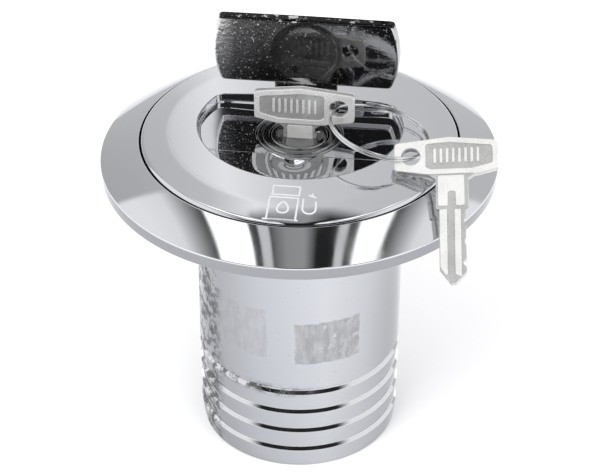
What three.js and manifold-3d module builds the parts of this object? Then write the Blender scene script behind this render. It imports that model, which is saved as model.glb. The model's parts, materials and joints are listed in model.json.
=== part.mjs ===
// Lockable deck fill cap for a 50 mm hose: a round flange with a barbed neck, and a threaded cap
// with a flip-up pull plate, a key lock and two latch bolts. Millimetres, +Z up out of the deck.
// The origin is on the neck's axis, in the plane of the flange's underside.
import * as THREE from 'three';
import { mergeVertices } from 'three/addons/utils/BufferGeometryUtils.js';
import Module from 'manifold-3d';

const wasm = await Module();
wasm.setup();

const deg = Math.PI / 180;
const GAP = 0.3; // working clearance between neighbouring pieces

// ---- driving dimensions -------------------------------------------------------------------
const ROUND = 48; // facets around the large round pieces
const FLANGE_R = 47.25; // flange rim
const RIM_TOP = 3.1; // top of the rim's vertical band
const RIM_CHAMFER = 0.35;
const CAP_R = 37.5; // outside of the cap
const CAP_SEAM_Z = 7.9; // where the flange's cone meets the cap
const LEDGE_Z = 2.6; // rebate floor under the cap
const COLLAR_R = 27; // raised collar that the seal sits on
const COLLAR_Z = 3.6;
const NECK_R = 25; // outside of the neck, for a 50 mm hose
const NECK_BORE_R = 22.4;
const NECK_END_Z = -74.15;
const BARB_PITCH = 5.95;
const BARBS = 4;
const BARB_CREST_R = 25.05;
const BARB_ROOT_R = 24.4;
const BARB_TIP = 0.6; // height of the slope above each crest
const NECK_FILLET = 0.8; // where the neck meets the flange
const DECK_SCREWS = 4; // hidden under the cap
const DECK_SCREW_CIRCLE_R = 32;
const DECK_SCREW_HOLE_R = 2.5;
const DECK_SCREW_HEAD_R = 4.6;
const BOLT_SLOT_TOP_Z = -14.2; // upper end of the neck's slots for the latch bolts

const THREAD_PITCH = 3; // one start, right hand
const THREAD_STEPS = 40; // facets per turn
const THREAD_BASE = 1.5; // width of a ridge at its root
const THREAD_CREST = 0.7;
const THREAD_BURY = 0.2; // a ridge starts this far inside its wall
const THREAD_START_Z = -9; // lower end of the neck's thread
const NECK_THREAD_CREST_R = 21.1;
const NECK_THREAD_TURNS = 3;
const SKIRT_THREAD_CREST_R = 21.95;
const SKIRT_THREAD_TURNS = 2.25;
const SKIRT_R = 20.6; // outside of the cap's threaded skirt
const SKIRT_BORE_R = 17.5;
const SKIRT_END_Z = -26.5;

const DOME_Z = 11.2; // height of the dome if it ran across the recess
const DOME_DROP = 1 / (24 * 24); // the dome falls by this times radius squared
const DOME_EDGE_R = 31; // the dome ends here and a steeper band runs down to the cap's side
const DOME_STEPS = 10;
const SHELL_UNDER_Z = 5.3;
const SHELL_SIDE_T = 1.9; // wall of the cap's outer band
const SHELL_LOW_Z = 3.2;
const WEB_Z = 5; // top of the plug's web, against the shell
const WEB_LOW_Z = 2.6;
const RECESS_R = 24.3; // round ends of the recess
const RECESS_BACK = 12.6; // straight rear edge, behind the axis
const RECESS_FRONT = 22.4; // foremost point of its curved front edge
const RECESS_Z = 8.2; // floor under the plate
const SEAT_FRONT = 9.6; // the floor steps up in front of the shut plate
const FINGER_Z = 8.5;
const SCOOP_R = 10.5; // shallow round scoop in that step, falling towards the lock
const SCOOP_W = -10.5;
const SCOOP_DEPTH = 1.6;
const CUT_TOP_Z = 14; // above every cut made into the cap from outside

const CAP_TURN = -6.8 * deg; // how far the cap is turned when it is tight
const PIN_W = 13.3; // hinge pin: behind the axis, and height
const PIN_Z = 8.7;
const PIN_R = 0.9;
const PLATE_R = 22.2; // round ends of the pull plate
const PLATE_NEAR = 5.2; // plate's hinge-side edge, from the pin
const PLATE_FAR = 22.6; // plate's free edge, from the pin
const PLATE_T = 2.2;
const PLATE_UNDER = -0.2; // underside below the pin's axis when shut
const TAB_HALF = 7.5;
const TAB_R = 2;
const TAB_NOTCH_Z = 6.2; // floor of the notch behind the recess, for the tab
const DIMPLE_R = 8.1;
const DIMPLE_DEPTH = 0.5;
const PIN_HALF_L = 10;
const PLUG_SCREW_R = 14.3; // circle of the screws between the shell and the plug
const PLUG_SCREW_ANGLES = [35, 145, 215, 325];
const SCREW_HOLE_R = 1.5;

const BARREL_R = 8.4;
const BARREL_HEAD_R = 10;
const BARREL_HEAD_Z = 7.05; // underside of the head
const BARREL_END_Z = -17.6;
const LOCK_TOP_Z = 8.1;
const PLUG_R = 6.75;
const PLUG_END_Z = -18;
const SPIGOT_R = 3.5;
const KEYWAY_U = 8;
const KEYWAY_W = 2.6;
const SPIGOT_END_Z = -20.9;
const WAFER_LEVELS = [0, -3, -6, -9, -12];
const WAFER_HALF_U = 6.2;
const WAFER_HALF_W = 2.3;
const WAFER_HALF_T = 0.4;

const CAM_R = 12.7;
const CAM_LOW_Z = -20.6;
const CAM_HIGH_Z = -18.4;
const BOLT_TRAVEL = 2.5;
const BOLT_PIN_RADIUS = 8; // pin's distance from the axis when the bolts are drawn in
const BOLT_PIN_R = 1.2;
const BOLT_LOW_Z = -24;
const BOLT_HIGH_Z = -21.1;
const BOLT_ROOT_R = 6.2;
const BOLT_TIP_R = 20.2;
const BOLT_HALF_W = 4;
const COVER_Z = -26.3;
const COVER_TOP_Z = -24.4;
const COVER_SCREW_W = 15; // either side of the axis

const BOW_NEAR = -10.6; // key bow's short end, from the blade's centre line
const BOW_FAR = 13; // key bow's ring end
const BOW_H = 9.6;
const BOW_END_H = 7;
const KEY_HALF_T = 0.9;
const KEY_HOLE_U = 9.3;
const KEY_HOLE_R = 2.2;
const STEM_HALF = 3.7;
const STEM_L = 8.9;
const BLADE_HALF = 3;
const BLADE_L = 18.6;
const KEY_SEAT_Z = 11.3; // underside of key 1's bow when it is home

const RING_R = 11.9; // middle of the split ring's wire
const RING_WIRE = 0.7;
const RING_STACK = 1.3; // height of its two turns together
const RING_NORMAL = new THREE.Vector3(0.25, 0.04, 0.967);
const KEY2_HOLE = new THREE.Vector3(25.4, -17.8, 12.75);
const KEY2_DOWN = new THREE.Vector3(-0.02, -0.888, -0.459); // along its blade
const KEY2_FACE = new THREE.Vector3(-0.122, -0.454, 0.883); // out of its upper face

// ---- solids ------------------------------------------------------------------------------
// Turns a closed three.js geometry into a solid for joining and cutting.
function solid(geometry) {
  const bare = geometry.clone();
  bare.deleteAttribute('normal');
  bare.deleteAttribute('uv');
  const merged = mergeVertices(bare, 1e-4);
  const points = merged.getAttribute('position').array;
  const corners = [];
  let volume = 0;
  for (let i = 0; i < merged.index.count; i += 3) {
    const [a, b, c] = [0, 1, 2].map((k) => merged.index.getX(i + k));
    if (a === b || b === c || c === a) continue;
    const [p, q, r] = [a, b, c].map((k) => new THREE.Vector3().fromArray(points, 3 * k));
    volume += p.dot(q.cross(r));
    corners.push(a, b, c);
  }
  if (volume < 0) corners.reverse();
  const mesh = new wasm.Mesh({
    numProp: 3,
    vertProperties: new Float32Array(points),
    triVerts: new Uint32Array(corners),
  });
  return new wasm.Manifold(mesh);
}

function joined(...solids) {
  return solids.reduce((sum, next) => sum.add(next));
}

function cut(body, ...tools) {
  return tools.reduce((rest, tool) => rest.subtract(tool), body);
}

// A turned solid: a closed profile of [radius, z] points spun about Z.
function turned(profile, facets = ROUND) {
  const points = profile.map(([r, z]) => new THREE.Vector2(r, z));
  points.push(points[0].clone());
  const geometry = new THREE.LatheGeometry(points, facets);
  geometry.rotateX(Math.PI / 2);
  return solid(geometry);
}

function disc(r, low, high, facets = ROUND, hole = 0) {
  if (hole === 0) {
    return turned([[0, low], [r, low], [r, high], [0, high]], facets);
  }
  return turned([[hole, low], [r, low], [r, high], [hole, high]], facets);
}

function slab(u0, u1, w0, w1, low, high) {
  const geometry = new THREE.BoxGeometry(u1 - u0, w1 - w0, high - low);
  geometry.translate((u0 + u1) / 2, (w0 + w1) / 2, (low + high) / 2);
  return solid(geometry);
}

function extruded(shape, low, high, curveSegments = 8) {
  const settings = { depth: high - low, bevelEnabled: false, curveSegments };
  const geometry = new THREE.ExtrudeGeometry(shape, settings);
  geometry.translate(0, 0, low);
  return solid(geometry);
}

// A thread ridge: its section is extruded straight and then wound into a helix.
function ridge(rootR, crestR, startZ, turns) {
  const half = THREAD_BASE / 2;
  const tip = THREAD_CREST / 2;
  const section = new THREE.Shape();
  section.moveTo(rootR, -half);
  section.lineTo(crestR, -tip);
  section.lineTo(crestR, tip);
  section.lineTo(rootR, half);
  section.closePath();
  const settings = { depth: turns, bevelEnabled: false, steps: Math.round(turns * THREAD_STEPS) };
  const geometry = new THREE.ExtrudeGeometry(section, settings);
  const place = geometry.getAttribute('position');
  for (let i = 0; i < place.count; i += 1) {
    const turn = place.getZ(i);
    const r = place.getX(i);
    const angle = turn * 2 * Math.PI;
    const z = startZ + place.getY(i) + turn * THREAD_PITCH;
    place.setXYZ(i, r * Math.cos(angle), r * Math.sin(angle), z);
  }
  return solid(geometry);
}

function at(body, x, y, z) {
  return body.translate([x, y, z]);
}

// Steel and other finishes.
const FINISH = {
  polished: { color: 0xc9ccd2, roughness: 0.08, metalness: 1 },
  cast: { color: 0x8f9194, roughness: 0.35, metalness: 1 },
  turned: { color: 0xb4b6ba, roughness: 0.3, metalness: 1 },
  brass: { color: 0xb8a06a, roughness: 0.35, metalness: 1 },
  key: { color: 0xd8d6d0, roughness: 0.3, metalness: 1 },
  rubber: { color: 0x1c1c1d, roughness: 0.85, metalness: 0 },
};

function piece(name, body, finish, parent) {
  const out = body.getMesh();
  const stride = out.numProp;
  const points = new Float32Array((out.vertProperties.length / stride) * 3);
  for (let i = 0; i < points.length / 3; i += 1) {
    for (let k = 0; k < 3; k += 1) points[3 * i + k] = out.vertProperties[stride * i + k];
  }
  const geometry = new THREE.BufferGeometry();
  geometry.setAttribute('position', new THREE.BufferAttribute(points, 3));
  geometry.setIndex(new THREE.BufferAttribute(new Uint32Array(out.triVerts), 1));
  geometry.computeVertexNormals();
  const mesh = new THREE.Mesh(geometry, new THREE.MeshStandardMaterial(FINISH[finish]));
  mesh.name = name;
  parent.add(mesh);
  return mesh;
}

// ---- deck body ---------------------------------------------------------------------------
function deckScrewHole() {
  const top = LEDGE_Z + 0.1;
  const profile = [[0, -1], [DECK_SCREW_HOLE_R, -1], [DECK_SCREW_HOLE_R, 0.7]];
  profile.push([DECK_SCREW_HEAD_R, top], [0, top]);
  return turned(profile, 16);
}

function deckBody() {
  const profile = [[NECK_BORE_R, NECK_END_Z], [BARB_ROOT_R, NECK_END_Z]];
  for (let k = 1; k <= BARBS; k += 1) {
    const high = NECK_END_Z + k * BARB_PITCH;
    profile.push([BARB_CREST_R, high - BARB_TIP], [BARB_ROOT_R, high]);
  }
  const barbTop = NECK_END_Z + BARBS * BARB_PITCH;
  profile.push([BARB_ROOT_R, barbTop + 0.5], [NECK_R, barbTop + 0.9]);
  profile.push([NECK_R, -NECK_FILLET], [NECK_R + NECK_FILLET, 0]);
  profile.push([FLANGE_R - RIM_CHAMFER, 0], [FLANGE_R, RIM_CHAMFER]);
  profile.push([FLANGE_R, RIM_TOP - 0.25], [FLANGE_R - 0.2, RIM_TOP]);
  profile.push([CAP_R + 0.5, CAP_SEAM_Z], [CAP_R + GAP, CAP_SEAM_Z - 0.2]);
  profile.push([CAP_R + GAP, LEDGE_Z], [COLLAR_R, LEDGE_Z]);
  profile.push([COLLAR_R, COLLAR_Z], [NECK_BORE_R, COLLAR_Z]);
  const thread = ridge(
    NECK_BORE_R + THREAD_BURY, NECK_THREAD_CREST_R, THREAD_START_Z, NECK_THREAD_TURNS);

  const tools = [];
  for (let k = 0; k < DECK_SCREWS; k += 1) {
    const angle = (2 * Math.PI * (k + 0.5)) / DECK_SCREWS;
    const x = DECK_SCREW_CIRCLE_R * Math.cos(angle);
    const y = DECK_SCREW_CIRCLE_R * Math.sin(angle);
    tools.push(at(deckScrewHole(), x, y, 0));
  }
  // Two upright slots inside the neck take the latch bolts at any height of the cap.
  const slotHalf = BOLT_HALF_W + 0.6;
  const slotR = BOLT_TIP_R + BOLT_TRAVEL + 0.7;
  const slots = slab(-slotR, slotR, -slotHalf, slotHalf, BOLT_LOW_Z - 0.8, BOLT_SLOT_TOP_Z);
  tools.push(slots.rotate([0, 0, CAP_TURN / deg]));
  return cut(joined(turned(profile), thread), ...tools);
}

// ---- cap ---------------------------------------------------------------------------------
function domeZ(r) {
  return DOME_Z - DOME_DROP * r * r;
}

// The recess from the height low upwards.
function recess(low) {
  const ends = disc(RECESS_R, low, CUT_TOP_Z, 96);
  const front = at(ends, 0, RECESS_R - RECESS_FRONT, 0);
  const back = slab(-RECESS_R, RECESS_R, -RECESS_R, RECESS_BACK, low, CUT_TOP_Z);
  return ends.intersect(front).intersect(back);
}

// The plate's outline: a disc with two straight sides.
function plateShape(r, half) {
  const a = Math.asin(half / r);
  const shape = new THREE.Shape();
  shape.absarc(0, 0, r, -a, a, false);
  shape.absarc(0, 0, r, Math.PI - a, Math.PI + a, false);
  shape.closePath();
  return shape;
}

function capShell() {
  const top = [];
  for (let i = DOME_STEPS; i >= 0; i -= 1) {
    const r = (DOME_EDGE_R * i) / DOME_STEPS;
    top.push([r, domeZ(r)]);
  }
  const inner = CAP_R - SHELL_SIDE_T;
  const profile = [[0, SHELL_UNDER_Z], [inner, SHELL_UNDER_Z], [inner, SHELL_LOW_Z]];
  profile.push([CAP_R - 0.3, SHELL_LOW_Z], [CAP_R, SHELL_LOW_Z + 0.3]);
  profile.push([CAP_R, CAP_SEAM_Z - 0.4], [CAP_R - 0.15, CAP_SEAM_Z - 0.15]);
  profile.push([CAP_R - 0.6, CAP_SEAM_Z], [DOME_EDGE_R + 2, 9.12], ...top);
  const step = slab(-RECESS_R, RECESS_R, -RECESS_R, -SEAT_FRONT, 0, FINGER_Z);
  const scoop = [[0, FINGER_Z - SCOOP_DEPTH]];
  for (const part of [0.25, 0.5, 0.75, 1]) {
    scoop.push([SCOOP_R * part, FINGER_Z - SCOOP_DEPTH * (1 - part) ** 1.6]);
  }
  scoop.push([SCOOP_R, CUT_TOP_Z], [0, CUT_TOP_Z]);
  const notchU = TAB_HALF + 0.4;
  const notchW = TAB_R + 0.4;
  const tools = [
    cut(recess(RECESS_Z), step),
    recess(RECESS_Z - 1).intersect(at(turned(scoop), 0, SCOOP_W, 0)),
    slab(-notchU, notchU, PIN_W - notchW, PIN_W + notchW, TAB_NOTCH_Z, CUT_TOP_Z),
    disc(BARREL_HEAD_R + GAP, 6.7, 9, 32),
    disc(BARREL_R + GAP, 5, 9, 32),
    hingeRod(PIN_R + GAP, PIN_HALF_L + 0.6),
  ];
  for (const [u, w] of plugScrewPlaces()) tools.push(at(disc(SCREW_HOLE_R, 5, 7.4, 12), u, w, 0));
  return cut(turned(profile), ...tools);
}

// A rod on the hinge axis, reaching halfLength either side.
function hingeRod(r, halfLength) {
  return at(disc(r, -halfLength, halfLength, 16).rotate([0, 90, 0]), 0, PIN_W, PIN_Z);
}

function plugScrewPlaces() {
  return PLUG_SCREW_ANGLES.map((a) => [
    PLUG_SCREW_R * Math.cos(a * deg), PLUG_SCREW_R * Math.sin(a * deg),
  ]);
}

function capPlug() {
  const profile = [[SKIRT_BORE_R, SKIRT_END_Z], [SKIRT_R, SKIRT_END_Z], [SKIRT_R, WEB_Z]];
  profile.push([BARREL_R + GAP, WEB_Z], [BARREL_R + GAP, WEB_LOW_Z], [SKIRT_BORE_R, WEB_LOW_Z]);
  const thread = ridge(
    SKIRT_R - THREAD_BURY, SKIRT_THREAD_CREST_R, THREAD_START_Z + THREAD_PITCH / 2,
    SKIRT_THREAD_TURNS);
  const lug = slab(12.6, 18, -3, 3, BOLT_LOW_Z - 0.1, BOLT_HIGH_Z);
  const windowHalf = BOLT_HALF_W + GAP;
  const tools = [
    slab(-24, 24, -windowHalf, windowHalf, BOLT_LOW_Z - GAP, BOLT_HIGH_Z + GAP),
    at(disc(1.3, -25, -22.2, 12), 0, COVER_SCREW_W, 0),
    at(disc(1.3, -25, -22.2, 12), 0, -COVER_SCREW_W, 0),
  ];
  for (const [u, w] of plugScrewPlaces()) tools.push(at(disc(SCREW_HOLE_R, 2, 6, 12), u, w, 0));
  const body = joined(turned(profile), thread, lug.rotate([0, 0, 90]), lug.rotate([0, 0, -90]));
  return cut(body, ...tools);
}

// A screw driven upwards: its head is under the piece that it holds.
function screw(r, headR, low, top, headT) {
  return joined(disc(r, low, top, 12), disc(headR, low - headT, low, 12));
}

// ---- pull plate --------------------------------------------------------------------------
// Modelled shut, from the hinge axis: the plate runs towards the front.
function pullPlate() {
  const middle = -(PLATE_NEAR + PLATE_FAR) / 2;
  const half = (PLATE_FAR - PLATE_NEAR) / 2;
  const high = PLATE_UNDER + PLATE_T;
  const plate = at(extruded(plateShape(PLATE_R, half), PLATE_UNDER, high, 10), 0, middle, 0);
  const tab = slab(-TAB_HALF, TAB_HALF, -PLATE_NEAR - 1, 0, PLATE_UNDER, high);
  const knuckle = disc(TAB_R, -TAB_HALF, TAB_HALF, 20).rotate([0, 90, 0]);
  const pinHole = disc(PIN_R + GAP, -PIN_HALF_L, PIN_HALF_L, 16).rotate([0, 90, 0]);
  const dimple = at(disc(DIMPLE_R, PLATE_UNDER - 1, PLATE_UNDER + DIMPLE_DEPTH, 32), 0, middle, 0);
  return cut(joined(plate, tab, knuckle), pinHole, dimple);
}

// ---- lock --------------------------------------------------------------------------------
function lockBarrel() {
  const profile = [[PLUG_R + GAP, BARREL_END_Z], [BARREL_R, BARREL_END_Z], [BARREL_R, BARREL_HEAD_Z]];
  profile.push([BARREL_HEAD_R, BARREL_HEAD_Z], [BARREL_HEAD_R, LOCK_TOP_Z], [PLUG_R + GAP, LOCK_TOP_Z]);
  return turned(profile, 32);
}

function lockPlug() {
  const profile = [[0, SPIGOT_END_Z], [SPIGOT_R, SPIGOT_END_Z], [SPIGOT_R, PLUG_END_Z]];
  profile.push([PLUG_R, PLUG_END_Z], [PLUG_R, LOCK_TOP_Z], [0, LOCK_TOP_Z]);
  const tools = [slab(-KEYWAY_U / 2, KEYWAY_U / 2, -KEYWAY_W / 2, KEYWAY_W / 2, -17, 9)];
  const slotW = WAFER_HALF_W + GAP;
  const slotT = WAFER_HALF_T + GAP;
  for (const z of WAFER_LEVELS) tools.push(slab(-8, 8, -slotW, slotW, z - slotT, z + slotT));
  tools.push(disc(1.7, -22, -18.3, 12));
  return cut(turned(profile, 32), ...tools);
}

function lockWafer() {
  const leaf = slab(
    -WAFER_HALF_U, WAFER_HALF_U, -WAFER_HALF_W, WAFER_HALF_W, -WAFER_HALF_T, WAFER_HALF_T);
  return cut(leaf, slab(-KEYWAY_U / 2, KEYWAY_U / 2, -1.4, 1.4, -1, 1));
}

function hexNut(r, hole, low, high) {
  return cut(disc(r, low, high, 6), disc(hole, low - 1, high + 1, 32));
}

// A slot in the scroll cam: its radius grows evenly with angle, by the bolts' travel in 90 degrees.
function scrollSlot() {
  const half = BOLT_PIN_R + 0.35;
  const edge = (side, from, to) => {
    const points = [];
    for (let i = 0; i <= 11; i += 1) {
      const a = from + ((to - from) * i) / 11;
      const r = BOLT_PIN_RADIUS + (BOLT_TRAVEL * a) / 90 + side * half;
      points.push(new THREE.Vector2(r * Math.cos(a * deg), r * Math.sin(a * deg)));
    }
    return points;
  };
  const shape = new THREE.Shape([...edge(1, -13, 102), ...edge(-1, 102, -13)]);
  return extruded(shape, CAM_LOW_Z - 1, CAM_HIGH_Z + 1);
}

function latchCam() {
  const rim = disc(CAM_R, CAM_LOW_Z, CAM_HIGH_Z, 36, SPIGOT_R + GAP);
  return cut(rim, scrollSlot(), scrollSlot().rotate([0, 0, 180]));
}

// side is 1 for the right bolt and -1 for the left.
function latchBolt(side) {
  const bar = slab(BOLT_ROOT_R, BOLT_TIP_R, -BOLT_HALF_W, BOLT_HALF_W, BOLT_LOW_Z, BOLT_HIGH_Z);
  const pin = at(disc(BOLT_PIN_R, BOLT_HIGH_Z - 0.5, CAM_HIGH_Z - 0.5, 16), BOLT_PIN_RADIUS, 0, 0);
  return joined(bar, pin).rotate([0, 0, side > 0 ? 0 : 180]);
}

function latchCover() {
  const hole = disc(SCREW_HOLE_R, COVER_Z - 1, COVER_TOP_Z + 1, 12);
  const plate = disc(SKIRT_BORE_R - GAP, COVER_Z, COVER_TOP_Z);
  return cut(plate, at(hole, 0, COVER_SCREW_W, 0), at(hole, 0, -COVER_SCREW_W, 0));
}

// ---- keys and ring -----------------------------------------------------------------------
// The ring's hole is countersunk from both faces.
function keyRingHole() {
  const rim = KEY_HOLE_R + 1;
  const profile = [[0, -1.2], [rim, -1.2], [KEY_HOLE_R, -0.3], [KEY_HOLE_R, 0.3], [rim, 1.2], [0, 1.2]];
  return turned(profile, 20);
}

// A key lies in the plane of u (across the bow) and v (down the blade, from the bow's underside).
function keyBlank() {
  const mid = BOW_H / 2;
  const end = BOW_END_H / 2;
  const tip = STEM_L + BLADE_L;
  const outline = [
    [BOW_NEAR, -mid - end + 0.4], [BOW_NEAR + 0.5, -mid - end], [0.5, -BOW_H],
    [BOW_FAR - 0.5, -mid - end], [BOW_FAR, -mid - end + 0.4],
    [BOW_FAR, -mid + end - 0.6], [BOW_FAR - 0.6, -mid + end],
    [STEM_HALF + 1.2, 0], [STEM_HALF, 0.8], [STEM_HALF, STEM_L], [BLADE_HALF, STEM_L],
    [BLADE_HALF, tip - 3.4], [0.6, tip], [-0.6, tip], [-BLADE_HALF, tip - 2.6],
    [-BLADE_HALF, STEM_L], [-STEM_HALF, STEM_L], [-STEM_HALF, 0.8], [-STEM_HALF - 1.2, 0],
    [BOW_NEAR + 0.5, -mid + end], [BOW_NEAR, -mid + end - 0.4],
  ];
  const bow = new THREE.Shape(outline.map(([u, v]) => new THREE.Vector2(u, v)));
  const blank = extruded(bow, -KEY_HALF_T, KEY_HALF_T);
  const tools = [at(keyRingHole(), KEY_HOLE_U, -mid, 0)];
  for (const side of [-1, 1]) {
    // sunk panel in the bow, and a groove along the blade
    const face = side * KEY_HALF_T;
    tools.push(slab(BOW_NEAR + 1.6, 5.6, -mid - 2.2, -mid + 2.2, face - 0.3, face + 0.3));
    tools.push(slab(-0.5, 0.7, STEM_L - 3.5, tip + 1, face - 0.35, face + 0.35));
  }
  for (const [v, depth] of [[3.2, 0.35], [8.2, 0.3], [13.6, 0.7]]) {
    const notch = new THREE.Shape();
    notch.moveTo(-BLADE_HALF - 0.1, STEM_L + v - 1);
    notch.lineTo(-BLADE_HALF + depth, STEM_L + v - 0.4);
    notch.lineTo(-BLADE_HALF + depth, STEM_L + v + 0.4);
    notch.lineTo(-BLADE_HALF - 0.1, STEM_L + v + 1);
    notch.closePath();
    tools.push(extruded(notch, -3, 3));
  }
  return cut(blank, ...tools);
}

function splitRing() {
  const inner = RING_R - RING_WIRE / 2;
  const outer = RING_R + RING_WIRE / 2;
  const high = RING_STACK / 2;
  const edge = 0.22; // taken off each corner
  const profile = [
    [inner, -high + edge], [inner + edge, -high], [outer - edge, -high], [outer, -high + edge],
    [outer, high - edge], [outer - edge, high], [inner + edge, high], [inner, high - edge],
  ];
  return turned(profile, 44);
}

// Key 1's hole, in the whole part's frame.
function key1Hole() {
  const hole = new THREE.Vector3(KEY_HOLE_U, 0, KEY_SEAT_Z + BOW_H / 2);
  return hole.applyAxisAngle(new THREE.Vector3(0, 0, 1), CAP_TURN);
}

// The ring's circle passes through both keys' holes, close to the wanted slope.
function ringPlace() {
  const a = key1Hole();
  const chord = KEY2_HOLE.clone().sub(a);
  const along = chord.clone().normalize();
  const normal = RING_NORMAL.clone().addScaledVector(along, -RING_NORMAL.dot(along)).normalize();
  const out = new THREE.Vector3().crossVectors(normal, along);
  const reach = Math.sqrt(RING_R ** 2 - (chord.length() / 2) ** 2);
  const centre = a.clone().addScaledVector(chord, 0.5).addScaledVector(out, reach);
  return { centre, along, out, normal };
}

// ---- assembly ----------------------------------------------------------------------------
const group = new THREE.Group();
piece('deck_body', deckBody(), 'polished', group);

const cap = new THREE.Group();
cap.rotation.z = CAP_TURN;
group.add(cap);
piece('cap_shell', capShell(), 'polished', cap);
piece('cap_plug', capPlug(), 'turned', cap);
plugScrewPlaces().forEach(([u, w], i) => {
  piece(`plug_screw_${i + 1}`, at(screw(1.2, 2.2, 2.3, 7, 1.3), u, w, 0), 'turned', cap);
});
piece('cap_seal', disc(COLLAR_R - 0.4, COLLAR_Z + 0.2, WEB_Z, ROUND, SKIRT_R + 0.4), 'rubber', cap);
piece('hinge_pin', hingeRod(PIN_R, PIN_HALF_L), 'turned', cap);
piece('lock_barrel', lockBarrel(), 'turned', cap);
piece('lock_nut', hexNut(12, BARREL_R + GAP, -0.2, 2.2), 'brass', cap);
piece('lock_plug', lockPlug(), 'key', cap);
WAFER_LEVELS.forEach((z, i) => piece(`lock_wafer_${i + 1}`, at(lockWafer(), 0, 0, z), 'brass', cap));
piece('latch_cam', latchCam(), 'turned', cap);
piece('cam_washer', disc(5.2, -21.9, -21.2, 24, 1.7), 'turned', cap);
piece('cam_screw', screw(1.3, 3, -22.2, -18.8, 1.2), 'turned', cap);
piece('latch_bolt_right', latchBolt(1), 'turned', cap);
piece('latch_bolt_left', latchBolt(-1), 'turned', cap);
piece('latch_cover', latchCover(), 'turned', cap);
[COVER_SCREW_W, -COVER_SCREW_W].forEach((w, i) => {
  piece(`cover_screw_${i + 1}`, at(screw(1, 2.2, -26.6, -22.6, 1.2), 0, w, 0), 'turned', cap);
});

const plateHinge = new THREE.Group();
plateHinge.position.set(0, PIN_W, PIN_Z);
plateHinge.rotation.x = -Math.PI / 2;
cap.add(plateHinge);
piece('pull_plate', pullPlate(), 'cast', plateHinge);

const key1 = new THREE.Group();
const key1Basis = new THREE.Matrix4().makeBasis(
  new THREE.Vector3(1, 0, 0), new THREE.Vector3(0, 0, -1), new THREE.Vector3(0, 1, 0));
key1.quaternion.setFromRotationMatrix(key1Basis);
key1.position.set(0, 0, KEY_SEAT_Z);
cap.add(key1);
piece('key_1', keyBlank(), 'key', key1);

const ring = new THREE.Group();
const { centre, along, out, normal } = ringPlace();
ring.quaternion.setFromRotationMatrix(new THREE.Matrix4().makeBasis(along, out, normal));
ring.position.copy(centre);
group.add(ring);
piece('key_ring', splitRing(), 'turned', ring);

const key2 = new THREE.Group();
const down = KEY2_DOWN.clone().normalize();
const face = KEY2_FACE.clone().addScaledVector(down, -KEY2_FACE.dot(down)).normalize();
const across = new THREE.Vector3().crossVectors(down, face);
key2.quaternion.setFromRotationMatrix(new THREE.Matrix4().makeBasis(across, down, face));
const key2Origin = KEY2_HOLE.clone().addScaledVector(across, -KEY_HOLE_U);
key2.position.copy(key2Origin.addScaledVector(down, BOW_H / 2));
group.add(key2);
piece('key_2', keyBlank(), 'key', key2);

export default group;
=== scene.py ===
"""Deck fill cap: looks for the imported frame. Lengths below are millimetres, scaled once by MM."""
import json
import math

import bmesh
import bpy
from mathutils import Matrix, Vector


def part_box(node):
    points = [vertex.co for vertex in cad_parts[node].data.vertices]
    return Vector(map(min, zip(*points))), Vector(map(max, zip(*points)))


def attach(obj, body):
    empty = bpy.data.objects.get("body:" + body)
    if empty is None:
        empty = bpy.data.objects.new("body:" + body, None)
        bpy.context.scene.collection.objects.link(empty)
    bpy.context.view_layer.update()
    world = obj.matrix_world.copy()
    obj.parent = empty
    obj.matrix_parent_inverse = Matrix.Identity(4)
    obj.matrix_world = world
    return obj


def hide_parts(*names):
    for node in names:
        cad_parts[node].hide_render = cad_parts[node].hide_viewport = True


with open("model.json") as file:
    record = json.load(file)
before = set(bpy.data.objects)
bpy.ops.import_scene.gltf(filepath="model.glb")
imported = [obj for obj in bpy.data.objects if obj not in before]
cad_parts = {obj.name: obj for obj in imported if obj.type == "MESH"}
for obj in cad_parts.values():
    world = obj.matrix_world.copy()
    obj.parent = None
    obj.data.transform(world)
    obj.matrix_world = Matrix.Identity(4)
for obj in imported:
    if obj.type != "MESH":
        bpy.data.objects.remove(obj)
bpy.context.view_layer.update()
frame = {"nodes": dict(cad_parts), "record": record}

MM = 0.001
JOINTS = {joint["name"]: joint for joint in frame["record"]["behaviour"]["joints"]}


def in_mm(values):
    return Vector([value / MM for value in values])


# ---- sizes from the frame ----------------------------------------------------------------
body_low, body_high = (in_mm(corner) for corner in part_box("deck_body"))
FLANGE_R = body_high.x
NECK_END = body_low.z
RIM_TOP = 3.1
SEAM_Z = 7.9
LEDGE_Z = 2.6
COLLAR_R = 27
COLLAR_Z = 3.6
CAP_R = 37.5
NECK_R = 25.0
NECK_BORE_R = 22.4
BARBS = 4
BARB_PITCH = 5.95
BARB_ROOT_R = 24.35
BARB_CREST_R = 25.05
DECK_SCREWS = 4
DECK_SCREW_CIRCLE_R = 32
THREAD_PITCH = 3.0
THREAD_START_Z = -9.0
hinge_axis = JOINTS["plate_hinge"]["axis"]
CAP_TURN = math.atan2(hinge_axis[1], hinge_axis[0])
TURNED = Matrix.Rotation(CAP_TURN, 4, "Z")
PIN = TURNED.inverted() @ in_mm(JOINTS["plate_hinge"]["pos_m"])
KEY1_HOLE = in_mm(JOINTS["ring_swing"]["pos_m"])
KEY2_HOLE = in_mm(JOINTS["spare_key_swing"]["pos_m"])
DOME_Z = 11.2
DOME_DROP = 1 / 24 ** 2
BAND_R = 31.6
DOME_END_R = 36.7
SHELL_LOW_Z = 3.2
SHELL_UNDER_Z = 5.3
SHELL_WALL_R = 35.6
RECESS_R = 24.3
RECESS_BACK = 12.6
RECESS_FRONT = 22.4
RECESS_Z = 8.2
SEAT_FRONT = 9.6
FINGER_Z = 8.5
SCOOP_R = 10.5
SCOOP_W = -10.5
SCOOP_DEPTH = 1.6
NOTCH_HALF = 7.9
NOTCH_BACK = 15.7
WALL_FOOT = 0.55
WALL_FILLET = 0.5
EDGE_ROUND = 0.3
BARREL_HOLE_R = 8.7
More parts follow.
